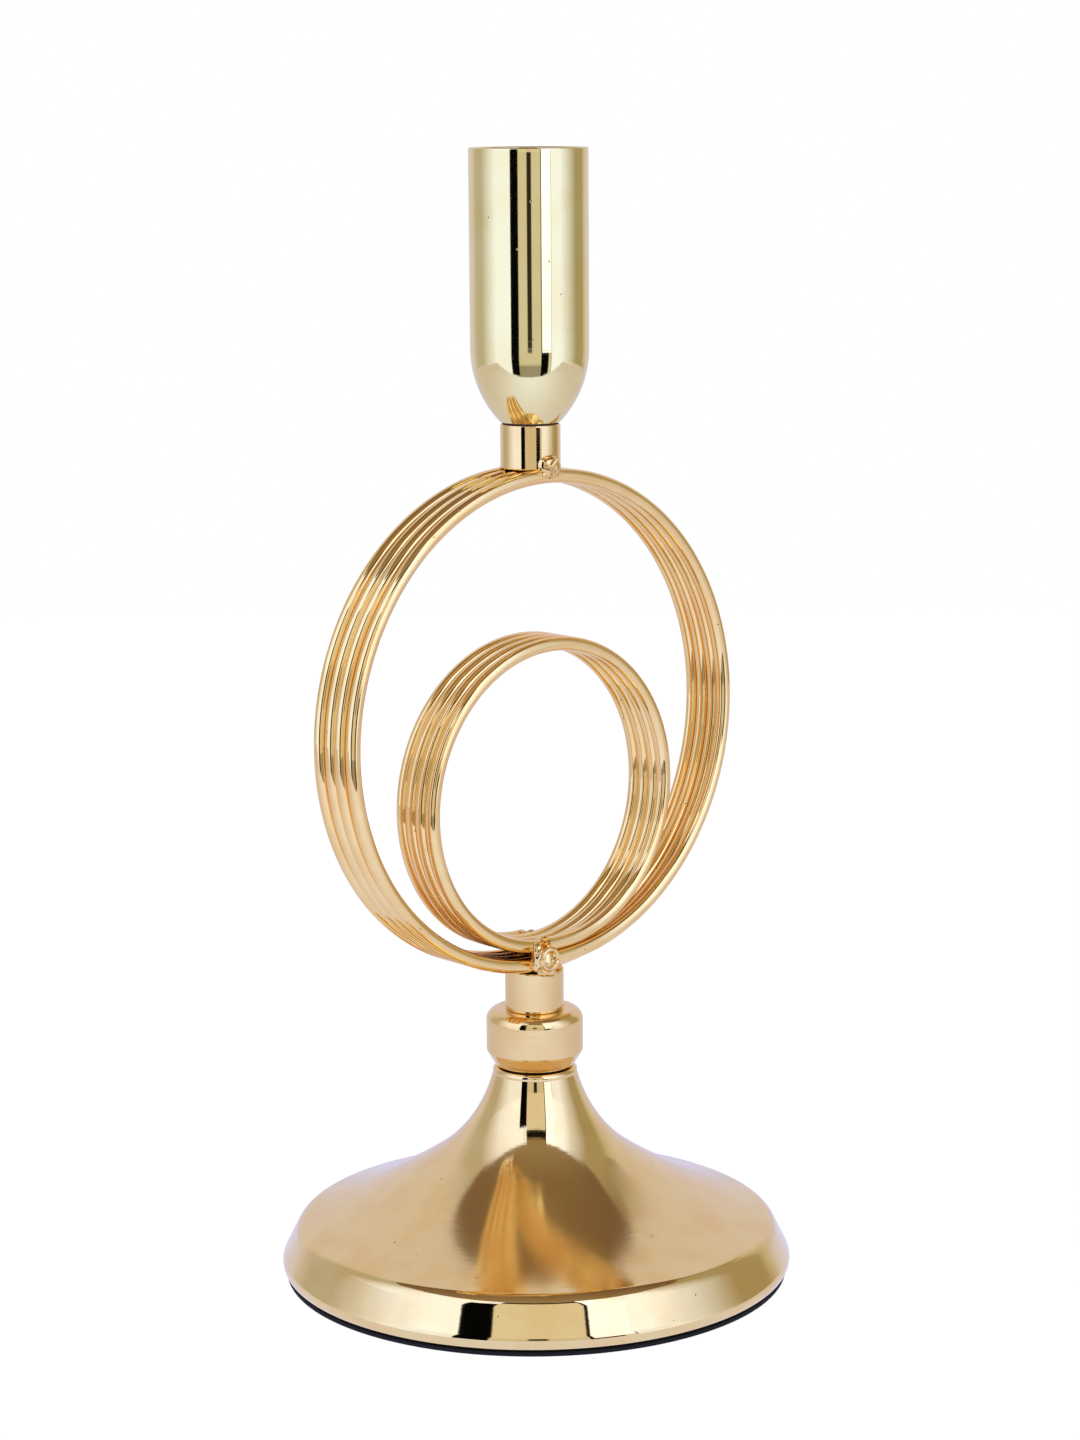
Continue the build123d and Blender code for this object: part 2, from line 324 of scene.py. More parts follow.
# %% [markdown]
# ## The base
# A disc of sheet is pressed over a former as it spins, so the base is one skin with a short straight
# neck, a trumpet flare and a bevelled rim that turns in under the foot. The outside outline is drawn
# with two arcs, one tight and one wide, and the inside follows it one sheet thickness away. The pad is
# a disc of black foam that stands back a little from the rim, and shows as a dark line.

# %% Base and pad
NECK_R = 8.65
NECK_FOOT_Z = 42.1
NECK_ROUND = 0.95
FLARE_R = 30.0
FLARE_START = 76  # degrees from level
FLARE_END = 35
SHEET = 0.8
BASE_Z = 0.8
BASE_R = 52.5
HEM = 5
RIM_HEIGHT = 9.95
RIM_SLOPE = math.radians(63.5)
RIM_ROUND = 2.2
CREASE_ROUND = 4.0
CREASE_ROOM = 2.2  # of the crease's round along the plate
PAD_R = 51.65
FLARE_STEPS = 40
PLATE_STEPS = 48


def uphill_normal(degrees):
    """Square to a slope that falls outwards, out of the metal."""
    return Vector((math.sin(math.radians(degrees)), math.cos(math.radians(degrees))))


neck_foot = Vector((NECK_R, NECK_FOOT_Z))
flare_centre = neck_foot + uphill_normal(FLARE_START) * FLARE_R
flare_slopes = [FLARE_START + (FLARE_END - FLARE_START) * k / FLARE_STEPS for k in range(FLARE_STEPS + 1)]
flare = [flare_centre - uphill_normal(slope) * FLARE_R for slope in flare_slopes]
rim_corner = Vector((BASE_R + RIM_ROUND * (math.tan((math.pi - RIM_SLOPE) / 2) - 1), BASE_Z))
crease = rim_corner + Vector((-RIM_HEIGHT / math.tan(RIM_SLOPE), RIM_HEIGHT))
chord = crease - flare[-1]
plate_r = chord.length_squared / (2 * chord.dot(uphill_normal(FLARE_END)))
plate_centre = flare[-1] + uphill_normal(FLARE_END) * plate_r
plate_end = math.degrees(math.asin((plate_centre.x - crease.x) / plate_r))
plate_slopes = [FLARE_END + (plate_end - FLARE_END) * k / PLATE_STEPS for k in range(1, PLATE_STEPS)]
plate = [plate_centre - uphill_normal(slope) * plate_r for slope in plate_slopes]

outside = [(STUD_HOLE_R, NECK_Z, 0), (NECK_R, NECK_Z, NECK_ROUND), (*neck_foot, 0.6)]
outside += [(*point, 0) for point in flare[1:] + plate if (point - crease).length > CREASE_ROOM]
outside += [(*crease, CREASE_ROUND), (*rim_corner, RIM_ROUND), (BASE_R - HEM, BASE_Z, 0)]
skin = rounded(outside, 12)
inside = []
for before, point, after in zip(skin[:1] + skin, skin, skin[1:] + skin[-1:]):
    run = (after - before).normalized()
    inside.append(point + Vector((run.y, -run.x)) * SHEET)
base = dress(lathe("spun_base", skin + inside[::-1], 320), "base", "base_gold", "base_shell")

pad_corners = [(0, 0, 0), (PAD_R, 0, 0.25), (PAD_R, BASE_Z, 0.2), (0, BASE_Z, 0)]
pad = dress(lathe("foam_pad", rounded(pad_corners)), "base", "pad_foam", "base_pad")
print("plate arc", round(plate_r, 1), "mm, slope at the crease", round(plate_end, 1), "degrees")

# %% [markdown]
# ## Screw threads
# The cup screws onto a stud in the upper post, and the stem onto a stud in the base. The studs only
# show when the holder is taken apart, and then their threads do. A thread is a ridge that climbs one
# pitch a turn, so the stud is a fine cylinder whose radius rises and falls with the height less the
# share of a turn.

# %% Threaded studs
PITCH = 1.0
CORE_R = 2.5
RIDGE = 0.48
STUD_CHAMFER = 0.6
STUD_SIDES = 48
RING_STEP = 0.125
CUP_STUD_REACH = (168.7, 182.2)  # lowest and highest point
BASE_STUD_REACH = (33.4, 54.9)


def join_rings(shape, rings):
    """A closed skin over rings of points, one after another, with a cap on each end."""
    sides = len(rings[0])
    for ring, after in zip(rings, rings[1:]):
        for k in range(sides):
            shape.faces.new((ring[k], ring[(k + 1) % sides], after[(k + 1) % sides], after[k]))
    shape.faces.new(rings[0][::-1])
    shape.faces.new(rings[-1])


def threaded_stud(name, low, high):
    """A stud with a right-hand thread and chamfered ends, between two heights in millimetres."""
    shape = bmesh.new()
    rings = []
    for step in range(round((high - low) / RING_STEP) + 1):
        z = low + step * RING_STEP
        room = CORE_R + RIDGE - STUD_CHAMFER + min(z - low, high - z)
        ring = []
        for k in range(STUD_SIDES):
            a = math.tau * k / STUD_SIDES
            climb = (z / PITCH - k / STUD_SIDES) % 1
            r = min(CORE_R + RIDGE * (1 - abs(2 * climb - 1)), room)
            ring.append(shape.verts.new(Vector((r * math.cos(a), r * math.sin(a), z)) * MM))
        rings.append(ring)
    join_rings(shape, rings)
    return from_bmesh(name, shape)


dress(threaded_stud("cup_thread", *CUP_STUD_REACH), "stem", "zinc_steel", "cup_stud")
dress(threaded_stud("base_thread", *BASE_STUD_REACH), "base", "zinc_steel", "base_stud")

# %% [markdown]
# ## The wound hoops
# Each hoop is one length of wire wound four times round a former, so its turns lie side by side like a
# spring's and its two ends come out at the bottom, one in front and one behind. A helix of many points
# gives the wire's middle, and a round section is carried along it without twisting. No hoop is a
# perfect helix: it springs back a little out of round, and its front end is lifted where it was pulled
# in to be welded. The turns almost touch: the dark, deep orange lines between them come from light that
# bounces from wire to wire.

# %% Tube helper
LENGTH_SHARE = 0.02  # of the wire's length that counts in its grain, so that drawing lines run along it


def tube(name, path, radius, sides=48):
    """A round wire along points in millimetres, with both ends closed."""
    shape = bmesh.new()
    grain = shape.verts.layers.float_vector.new("grain")
    along = 0
    rings = []
    side = None
    for index, point in enumerate(path):
        run = (path[min(index + 1, len(path) - 1)] - path[max(index - 1, 0)]).normalized()
        side = run.orthogonal() if side is None else side
        side = (side - run * side.dot(run)).normalized()
        across = run.cross(side)
        along += (point - path[index - 1]).length if index else 0
        ring = []
        for k in range(sides):
            x = radius * math.cos(math.tau * k / sides)
            y = radius * math.sin(math.tau * k / sides)
            vertex = shape.verts.new((point + side * x + across * y) * MM)
            vertex[grain] = (x, y, LENGTH_SHARE * along)
            ring.append(vertex)
        rings.append(ring)
    join_rings(shape, rings)
    return from_bmesh(name, shape)


# %% Hoops
WIRE_R = 1.43
TURNS = 4
LOOSE_TURNS = 0.5
SWAY_TURN = 1.75  # where the turns lean furthest back
STEPS_PER_TURN = 300
LARGE_RADII = (49.4, 49.8)  # across and up, because a hoop springs a little out of round
LARGE_MIDDLE = (-0.15, 0, 115.3)
LARGE_PITCH = 3.2
SMALL_RADII = (30.85, 31.1)
SMALL_MIDDLE = (1.25, 0, 100.1)
SMALL_PITCH = 2.98


def hoop_path(radii, middle, pitch, end_lift, end_back=0, sway=0, extra=0):
    """The wire's middle, from the lifted front end at the bottom to the end at the back."""
    path = []
    for step in range(-extra, TURNS * STEPS_PER_TURN + 1):
        turn = step / STEPS_PER_TURN
        angle = math.tau * turn
        free = min(1, max(0, 1 - turn / LOOSE_TURNS)) ** 1.5
        lean = end_back * free + sway * math.cos(math.pi * (turn - SWAY_TURN))
        x = middle[0] + (radii[0] - end_lift * free) * math.sin(angle)
        y = middle[1] + pitch * (turn - TURNS / 2) + lean
        z = middle[2] - (radii[1] - end_lift * free) * math.cos(angle)
        path.append(Vector((x, y, z)))
    return path


large_path = hoop_path(LARGE_RADII, LARGE_MIDDLE, LARGE_PITCH, end_lift=1.65, sway=0.13)
small_path = hoop_path(SMALL_RADII, SMALL_MIDDLE, SMALL_PITCH, end_lift=1.05, end_back=0.25, extra=5)
large_hoop = dress(tube("large_hoop", large_path, WIRE_R), "stem", "stem_gold", "large_coil")
small_hoop = dress(tube("small_hoop", small_path, WIRE_R), "stem", "stem_gold", "small_coil")

# %% [markdown]
# ## Welds
# The hoops are held by four small welds, two in front and two behind. A weld is a bead of metal that
# froze as it ran: a few lumps with ridges and ripples between them, and a pit where it shrank. Round
# lumps that melt into each other are what metaballs are for. A metaball can't be finer than 5 mm in a
# scene of metres, so each weld is laid in millimetres, turned into a mesh, and only then brought down
# to its size.

# %% Weld helper
BEAD_STEP = 0.15
VISIBLE_SHARE = 0.795  # of a lump's reach that shows, at this stiffness and threshold
RIPPLE = 0.06
RIPPLE_MM = 1.4


def weld(name, node, lumps, pits=(), turned=False):
    """Lumps and pits of (x, y, z, radius) in millimetres that run together, as a piece."""
    family = bpy.data.metaballs.new(name + "_melt")
    family.resolution = BEAD_STEP
    family.threshold = 0.1
    for x, y, z, radius in [*lumps, *pits]:
        lump = family.elements.new()
        lump.co = (x, y, z)
        lump.radius = radius / VISIBLE_SHARE
        lump.stiffness = 2
        lump.use_negative = (x, y, z, radius) in pits
    molten = bpy.data.objects.new(name + "_melt", family)
    bpy.context.scene.collection.objects.link(molten)
    bpy.context.view_layer.update()
    mesh = bpy.data.meshes.new_from_object(molten.evaluated_get(bpy.context.evaluated_depsgraph_get()))
    mesh.name = name
    bpy.data.objects.remove(molten)
    bpy.data.metaballs.remove(family)
    for vertex in mesh.vertices:
        vertex.co += vertex.normal * noise.noise(vertex.co / RIPPLE_MM) * RIPPLE
    if turned:
        mesh.transform(Matrix.Rotation(math.pi, 4, "Z"))
    mesh.transform(Matrix.Scale(MM, 4))
    return dress(finish_piece(name, mesh, 60), "stem", "stem_gold", node)


def row(start, end, radius, count=6):
    """A ridge: lumps of one radius in a row."""
    spots = [Vector(start).lerp(Vector(end), k / (count - 1)) for k in range(count)]
    return [(*spot, radius) for spot in spots]


# %% Welds
NUGGET = Vector((-2.0, -7.1, 67.3))  # the crater where the electrode pressed
CRATER_R = 2.05
CRATER_BALLS = 40

crater_turns = [math.tau * k / CRATER_BALLS for k in range(CRATER_BALLS)]
crater = [NUGGET + CRATER_R * Vector((math.cos(a), 0, math.sin(a))) for a in crater_turns]
bottom_lumps = [(*spot, 0.5) for spot in crater]
bottom_lumps += [(-2.0, -5.3, 67.3, 2.1), (-2.5, -6.3, 66.6, 1.35)]
bottom_lumps += [(-0.3, -6.9, 66.2, 0.75), (-0.2, -6.8, 68.0, 0.65)]
bottom_lumps += row((-3.3, -4.7, 65.5), (-3.3, -4.6, 69.2), 1.25)
bottom_lumps += row((-3.2, -6.0, 64.7), (-1.0, -6.3, 64.4), 1.05)
bottom_pits = [(-2.7, -7.6, 68.3, 0.45), (-1.8, -7.6, 68.4, 0.4)]
rear_tack = row((-0.6, -5.9, 68.9), (-1.9, -5.9, 68.9), 1.45, 4)  # rounds off the small hoop's end
tack = row((-2.8, -4.4, 69.9), (-1.5, -3.1, 70.3), 0.8, 4)  # runs up over the small hoop's next turn

top_lumps = [(0.1, -4.9, 166.9, 2.7), (-0.9, -5.1, 167.5, 1.8), (1.3, -4.7, 166.3, 1.9)]
top_lumps += row((-0.9, -7.3, 167.3), (0.5, -7.2, 168.6), 0.45)
top_lumps += row((-0.9, -7.3, 167.3), (-0.6, -7.4, 165.5), 0.4)
top_lumps += [(-2.0, -5.7, 165.4, 0.8), (2.0, -6.2, 165.8, 0.7)]

weld("top_weld_bead", "top_front_weld", top_lumps)
weld("top_rear_weld_bead", "top_rear_weld", top_lumps, turned=True)
weld("bottom_weld_bead", "bottom_front_weld", bottom_lumps + tack, bottom_pits)
weld("bottom_rear_weld_bead", "bottom_rear_weld", bottom_lumps + rear_tack, bottom_pits, turned=True)

# %% [markdown]
# ## Finishes
# Every colour is written as an sRGB hex value and turned to linear light by one function. One small
# function adds a shader node with its settings and links. A pattern's scale is one over its size: grain
# is counted in millimetres, and the place in the object in metres.


# %% Colour and node helpers
def linear(hex_colour):
    """An sRGB hex colour as linear RGBA."""
    parts = [int(hex_colour[i : i + 2], 16) / 255 for i in (1, 3, 5)]
    return (*[c / 12.92 if c <= 0.04045 else ((c + 0.055) / 1.055) ** 2.4 for c in parts], 1)


def add(tree, kind, inputs=None, **settings):
    """A node with its settings; an input is a value or the socket that feeds it."""
    made = tree.nodes.new(kind)
    for key, value in settings.items():
        setattr(made, key, value)
    for key, value in (inputs or {}).items():
        if isinstance(value, bpy.types.NodeSocket):
            tree.links.new(value, made.inputs[key])
        else:
            made.inputs[key].default_value = value
    return made


def new_material(name):
    """A material with nodes, its tree and its shader."""
    material = bpy.data.materials.new(name)
    material.use_nodes = True
    return material, material.node_tree, material.node_tree.nodes["Principled BSDF"]


# %% [markdown]
# ## Gold plating
# Real gold plating is a few thousandths of a millimetre thick, so it shows what the metal under it
# looks like: tool lines from turning, die lines along drawn wire, slow waves from polishing, and a few
# pits. Each pit is a hollow in the bump, and inside it the gold is painted a darker brown as painted
# shade. The plating is a full metal with a coloured reflection and nothing beneath it. Its tint drifts
# a little, with a thin haze that dulls it in patches. One function makes all the golds from what
# differs between them.

# %% Plated gold
WAVE_MM = 14.0
HAZE_MM = 9.0
PIT_SPACING = 4.5
PIT_R = 0.22
PIT_SHADE_COLOUR = "#7A5426"
DRIFT_START = 0.35  # of the haze's noise, from the light gold to the deep
DRIFT_END = 0.7
HAZE_START = 0.3  # of the same noise, from clear metal to full haze
HAZE_END = 0.75
HAZE_DULLS = 1.5  # times as rough


def plated_gold(name, light, deep, rough, line_mm, line_depth, detail=3, wave_depth=0.012, pit_depth=0.05):
    """Gold plating over metal with tool lines of a spacing and a depth, both in millimetres."""
    material, tree, metal = new_material(name)
    grain = add(tree, "ShaderNodeAttribute", attribute_name="grain", name="grain")
    spot = add(tree, "ShaderNodeTexCoord").outputs["Object"]
    lines = add(
        tree,
        "ShaderNodeTexNoise",
        {"Vector": grain.outputs["Vector"], "Scale": 1 / line_mm, "Detail": detail, "Roughness": 0.6},
    )
    waves = add(tree, "ShaderNodeTexNoise", {"Vector": spot, "Scale": 1 / (WAVE_MM * MM), "Detail": 1})
    haze = add(
        tree,
        "ShaderNodeTexNoise",
        {"Vector": spot, "Scale": 1 / (HAZE_MM * MM), "Detail": 5},
        name="haze",
    )
    cells = add(tree, "ShaderNodeTexVoronoi", {"Vector": spot, "Scale": 1 / (PIT_SPACING * MM)})
    pit_edge = PIT_R / PIT_SPACING
    pits = add(
        tree,
        "ShaderNodeMapRange",
        {"Value": cells.outputs["Distance"], "From Min": pit_edge, "From Max": pit_edge / 3},
    )
    scored = add(tree, "ShaderNodeBump", {"Height": lines.outputs["Fac"], "Distance": line_depth * MM})
    polished = add(
        tree,
        "ShaderNodeBump",
        {"Height": waves.outputs["Fac"], "Distance": wave_depth * MM, "Normal": scored.outputs["Normal"]},
    )
    pitted = add(
        tree,
        "ShaderNodeBump",
        {"Height": pits.outputs[0], "Distance": pit_depth * MM, "Normal": polished.outputs["Normal"]},
        invert=True,
    )
    drift = add(
        tree,
        "ShaderNodeMapRange",
        {"Value": haze.outputs["Fac"], "From Min": DRIFT_START, "From Max": DRIFT_END},
        interpolation_type="SMOOTHSTEP",
    )
    tint = add(
        tree,
        "ShaderNodeMix",
        {0: drift.outputs[0], 6: linear(light), 7: linear(deep)},
        data_type="RGBA",
    )
    # Inside each pit the gold turns a darker brown: painted shade in the hollow, on top of the bumped pit.
    pit_shaded = add(
        tree,
        "ShaderNodeMix",
        {0: pits.outputs[0], 6: tint.outputs[2], 7: linear(PIT_SHADE_COLOUR)},
        data_type="RGBA",
    )
    dull = add(
        tree,
        "ShaderNodeMapRange",
        {
            "Value": haze.outputs["Fac"],
            "From Min": HAZE_START,
            "From Max": HAZE_END,
            "To Min": rough,
            "To Max": rough * HAZE_DULLS,
        },
    )
    metal.inputs["Metallic"].default_value = 1
    tree.links.new(pit_shaded.outputs[2], metal.inputs["Base Color"])
    tree.links.new(dull.outputs[0], metal.inputs["Roughness"])
    tree.links.new(pitted.outputs["Normal"], metal.inputs["Normal"])
    print(name, "with tool lines every", line_mm, "mm")
    return material


# %% Golds of the cup and the stem
# The drawn cup is buffed to a mirror: its lines are shallow, and only break the edges of what it reflects.
polished_gold = plated_gold("polished_pale_gold", "#F4E19E", "#F1DB95", 0.045, line_mm=0.7, line_depth=0.006)
# The posts are ground bar: the lines round them are as shallow.
ground_gold = plated_gold("ground_rose_gold", "#F5D38E", "#F1CB82", 0.05, line_mm=0.6, line_depth=0.004)
# The collar is turned: the tool's rings are deeper and scatter the light up and down.
turned_gold = plated_gold("turned_rose_gold", "#F5D38E", "#F1CB82", 0.055, line_mm=0.45, line_depth=0.024)
# The wire is drawn through a polished die, which leaves hardly a line along it.
drawn_gold = plated_gold(
    "drawn_rose_gold", "#FCD890", "#F8CF82", 0.045, line_mm=0.8, line_depth=0.003, detail=0
)
# A weld froze by itself: no lines, and a few more pits.
weld_gold = plated_gold(
    "plated_weld_gold", "#F5D38E", "#EBC278", 0.07, line_mm=1, line_depth=0, pit_depth=0.1
)

# %% [markdown]
# ## The spun base's gold
# A spun sheet keeps fine rings from the spinning roller. They blur what it reflects along the slope and
# leave it sharp round the piece, which is what a shader calls anisotropic. The roller's finish isn't
# even: the neck and the bevel were buffed bright, and the broad flare between them was left satin. How
# far along the outline a point lies decides which of the two it gets.

# %% Gold of the base
NECK_ALONG = NECK_R - STUD_HOLE_R + NECK_Z - NECK_FOOT_Z  # along the outline, to the foot of the neck
FLARE_ALONG = FLARE_R * math.radians(FLARE_START - FLARE_END)
CREASE_ALONG = NECK_ALONG + FLARE_ALONG + chord.length
BRIGHT_ROUGH = 0.045
SATIN_ROUGH = 0.12
NECK_BUFFED = 6  # this far past the neck's foot
CREASE_BUFFED = 5  # from this far before the crease
PATCH_LOW = 0.85  # of the roughness, where the metal is clear of haze
PATCH_HIGH = 1.25

spun_gold = plated_gold("spun_rose_gold", "#F4D794", "#F1CD87", BRIGHT_ROUGH, line_mm=0.9, line_depth=0.008)
tree = spun_gold.node_tree
metal = tree.nodes["Principled BSDF"]
along = add(tree, "ShaderNodeSeparateXYZ", {0: tree.nodes["grain"].outputs["Vector"]}).outputs["X"]
satin = add(
    tree,
    "ShaderNodeMapRange",
    {
        "Value": along,
        "From Min": NECK_ALONG + NECK_BUFFED,
        "From Max": NECK_ALONG + FLARE_ALONG,
        "To Min": BRIGHT_ROUGH,
        "To Max": SATIN_ROUGH,
    },
    interpolation_type="SMOOTHSTEP",
)
buffed = add(
    tree,
    "ShaderNodeMapRange",
    {
        "Value": along,
        "From Min": CREASE_ALONG - CREASE_BUFFED,
        "From Max": CREASE_ALONG,
        "To Min": SATIN_ROUGH,
        "To Max": BRIGHT_ROUGH,
    },
    interpolation_type="SMOOTHSTEP",
)
zone = add(tree, "ShaderNodeMath", {0: satin.outputs[0], 1: buffed.outputs[0]}, operation="MINIMUM")
patchy = add(
    tree,
    "ShaderNodeMapRange",
    {
        "Value": tree.nodes["haze"].outputs["Fac"],
        "From Min": HAZE_START,
        "From Max": HAZE_END,
        "To Min": PATCH_LOW,
        "To Max": PATCH_HIGH,
    },
)
rough = add(tree, "ShaderNodeMath", {0: zone.outputs[0], 1: patchy.outputs[0]}, operation="MULTIPLY")
tree.links.new(rough.outputs[0], metal.inputs["Roughness"])
tangent = add(tree, "ShaderNodeTangent", direction_type="RADIAL", axis="Z")
tree.links.new(tangent.outputs[0], metal.inputs["Tangent"])
metal.inputs["Anisotropic"].default_value = 0.6
metal.inputs["Anisotropic Rotation"].default_value = 0.25
for stretch, reach in (("neck", NECK_ALONG), ("flare", NECK_ALONG + FLARE_ALONG), ("plate", CREASE_ALONG)):
    print(stretch, "ends", round(reach, 1), "mm along the outline")

# %% [markdown]
# ## Hidden metal, fibre and foam
# Inside the holder are plain parts that show when it is taken apart. Zinc plated steel is grey and
# cloudy from its bath. The washers in the seams are vulcanised fibre, which is pressed paper: dark,
# dull and flecked. The pad is black closed-cell foam, soft to the light, with cells of some tenths of a
# millimetre.

# %% Zinc plated steel
CLOUD_MM = 1.6
ETCH_DEPTH = 0.02

# The bath leaves pale and dark clouds, and the metal shines through them unevenly.
zinc, tree, metal = new_material("zinc_plated_steel")
spot = add(tree, "ShaderNodeTexCoord").outputs["Object"]
clouds = add(
    tree,
    "ShaderNodeTexNoise",
    {"Vector": spot, "Scale": 1 / (CLOUD_MM * MM), "Detail": 6, "Roughness": 0.65},
)
cloudy = add(
    tree,
    "ShaderNodeMix",
    {0: clouds.outputs["Fac"], 6: linear("#D2D5D8"), 7: linear("#A9AEB4")},
    data_type="RGBA",
)
dull = add(tree, "ShaderNodeMapRange", {"Value": clouds.outputs["Fac"], "To Min": 0.2, "To Max": 0.45})
etched = add(tree, "ShaderNodeBump", {"Height": clouds.outputs["Fac"], "Distance": ETCH_DEPTH * MM})
metal.inputs["Metallic"].default_value = 1
tree.links.new(cloudy.outputs[2], metal.inputs["Base Color"])
tree.links.new(dull.outputs[0], metal.inputs["Roughness"])
tree.links.new(etched.outputs["Normal"], metal.inputs["Normal"])

print(zinc.name, "with clouds of", CLOUD_MM, "mm")

# %% Vulcanised fibre
FLECK_MM = 0.5
FELT_DEPTH = 0.03

# Pressed paper drinks the light, and its fibres show as brown flecks.
fibre, tree, paper = new_material("vulcanised_fibre")
spot = add(tree, "ShaderNodeTexCoord").outputs["Object"]
flecks = add(tree, "ShaderNodeTexNoise", {"Vector": spot, "Scale": 1 / (FLECK_MM * MM), "Detail": 4})
browns = add(
    tree,
    "ShaderNodeMix",
    {0: flecks.outputs["Fac"], 6: linear("#2A1D16"), 7: linear("#4A372A")},
    data_type="RGBA",
)
felted = add(tree, "ShaderNodeBump", {"Height": flecks.outputs["Fac"], "Distance": FELT_DEPTH * MM})
paper.inputs["Roughness"].default_value = 0.75
tree.links.new(browns.outputs[2], paper.inputs["Base Color"])
tree.links.new(felted.outputs["Normal"], paper.inputs["Normal"])

print(fibre.name, "with flecks of", FLECK_MM, "mm")

# %% Closed-cell foam
CELL_MM = 0.4
PORE_DEPTH = 0.12

# Cut cells trap the light, so the pad is black and has no shine.
foam, tree, rubber = new_material("black_closed_cell_foam")
spot = add(tree, "ShaderNodeTexCoord").outputs["Object"]
cells = add(tree, "ShaderNodeTexVoronoi", {"Vector": spot, "Scale": 1 / (CELL_MM * MM)})
# Each cell is painted darker towards its middle, where the bump makes its hollow: painted shade in the
# pores.
pore_shaded_blacks = add(
    tree,
    "ShaderNodeMix",
    {0: cells.outputs["Distance"], 6: linear("#070605"), 7: linear("#14110F")},
    data_type="RGBA",
)
pored = add(tree, "ShaderNodeBump", {"Height": cells.outputs["Distance"], "Distance": PORE_DEPTH * MM})
rubber.inputs["Roughness"].default_value = 0.95
tree.links.new(pore_shaded_blacks.outputs[2], rubber.inputs["Base Color"])
tree.links.new(pored.outputs["Normal"], rubber.inputs["Normal"])
print(foam.name, "with cells of", CELL_MM, "mm")

# %% [markdown]
# ## Putting the finishes on
# A piece takes the finish of the slot it names. The stem's slot has four finishes, for ground bar, the
# turned collar, drawn wire and welds, so those pieces are named. The CAD nodes that still show take the
# finish of their own slot.

# %% Finish of each piece
slot_finishes = {
    "cup_gold": polished_gold,
    "stem_gold": ground_gold,
    "base_gold": spun_gold,
    "zinc_steel": zinc,
    "fibre": fibre,
    "pad_foam": foam,
}
node_slots = {part["node"]: part["material_slot"] for part in frame["record"]["subparts"]}
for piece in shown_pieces():
    finish = slot_finishes[piece.get("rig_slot") or node_slots[piece.name]]
    if piece.name == "turned_collar":
        finish = turned_gold
    if piece.name.endswith("hoop"):
        finish = drawn_gold
    if piece.name.endswith("weld_bead"):
        finish = weld_gold
    piece.data.materials.clear()
    piece.data.materials.append(finish)
    print(piece.name, "is", finish.name)

# %% [markdown]
# ## The studio
# Bright metal shows what stands round it, so the studio is built as a photographer builds it: a white
# table, a softbox on each side with a hot spot before its lamp, grey and black cards between them, a
# flat pale backdrop behind, and a dark ceiling. The other cards are bent strips round the holder, with
# soft edges where the real ones fall off. They are hidden from the camera and seen in the metal. Only
# the softboxes and the strip light are lamps; the grey and white cards glow too, and their glow is
# painted light, standing for the lamps' light on them. An edge fades by mixing the light with a clear
# shader, so the card behind comes through. The lamps give daylight, which is bluer than the white that
# the camera was set for, so the brightest places in the warm metal come out pale.

# %% Cards
CARD_R = 0.75
CARD_FOOT = -0.30
CARD_TOP = 1.18
FLAG_TOP = 1.06
SOFTBOX_SPLIT = 0.34
CARD_STEPS = 48
DAYLIGHT = (1, 1.05, 1.4, 1)  # against the white that the camera was set for


def daylight(hex_colour):
    """The colour that a card of this paint has under the studio's lamps."""
    return tuple(part * share for part, share in zip(linear(hex_colour), DAYLIGHT))


def stage_material(name):
    """A material of the studio, and its empty tree."""
    material = bpy.data.materials.new(name)
    material.use_nodes = True
    material.node_tree.nodes.clear()
    return material, material.node_tree


def stage_mesh(name, shape, material):
    """A part of the studio, which isn't part of the holder."""
    mesh = bpy.data.meshes.new(name)
    shape.to_mesh(mesh)
    shape.free()
    mesh.materials.append(material)
    made = bpy.data.objects.new(name, mesh)
    bpy.context.scene.collection.objects.link(made)
    return made


def card(name, left, right, low, high, colour, strength=1, fade_left=0, fade_right=0, forward=0, flat=False):
    """A bent or flat strip from one azimuth to another, in degrees from the camera to its right."""
    material, tree = stage_material(name)
    cover = add(tree, "ShaderNodeAttribute", attribute_name="cover")
    clear = add(tree, "ShaderNodeBsdfTransparent")
    light = add(tree, "ShaderNodeEmission", {"Color": daylight(colour), "Strength": strength})
    mix = add(
        tree,
        "ShaderNodeMixShader",
        {0: cover.outputs["Fac"], 1: clear.outputs[0], 2: light.outputs[0]},
    )
    add(tree, "ShaderNodeOutputMaterial", {"Surface": mix.outputs[0]})
    shape = bmesh.new()
    cover_layer = shape.verts.layers.float.new("cover")
    pairs = []
    for k in range(CARD_STEPS + 1):
        azimuth = left + (right - left) * k / CARD_STEPS
        radius = CARD_R - forward
        if flat:
            radius /= math.cos(math.radians(azimuth - (left + right) / 2))
        turn = CAMERA_AZIMUTH + math.radians(azimuth)
        full = min((azimuth - left) / (fade_left or 1e-6), (right - azimuth) / (fade_right or 1e-6), 1)
        if not fade_left and k == 0 or not fade_right and k == CARD_STEPS:
            full = 1
        pair = []
        for z in (low, high):
            vertex = shape.verts.new((math.sin(turn) * radius, -math.cos(turn) * radius, z))
            vertex[cover_layer] = full
            pair.append(vertex)
        pairs.append(pair)
    for (a, b), (c, d) in zip(pairs, pairs[1:]):
        shape.faces.new((a, c, d, b))
    made = stage_mesh(name, shape, material)
    made.visible_camera = False
    print("card", name, "from", left, "to", right, "degrees")
    return made


def flag(name, left, right, low, high, colour, fade):
    """A card with both edges alike, a little before the others."""
    card(name, left, right, low, high, colour, fade_left=fade, fade_right=fade, forward=FLAG_FORWARD)


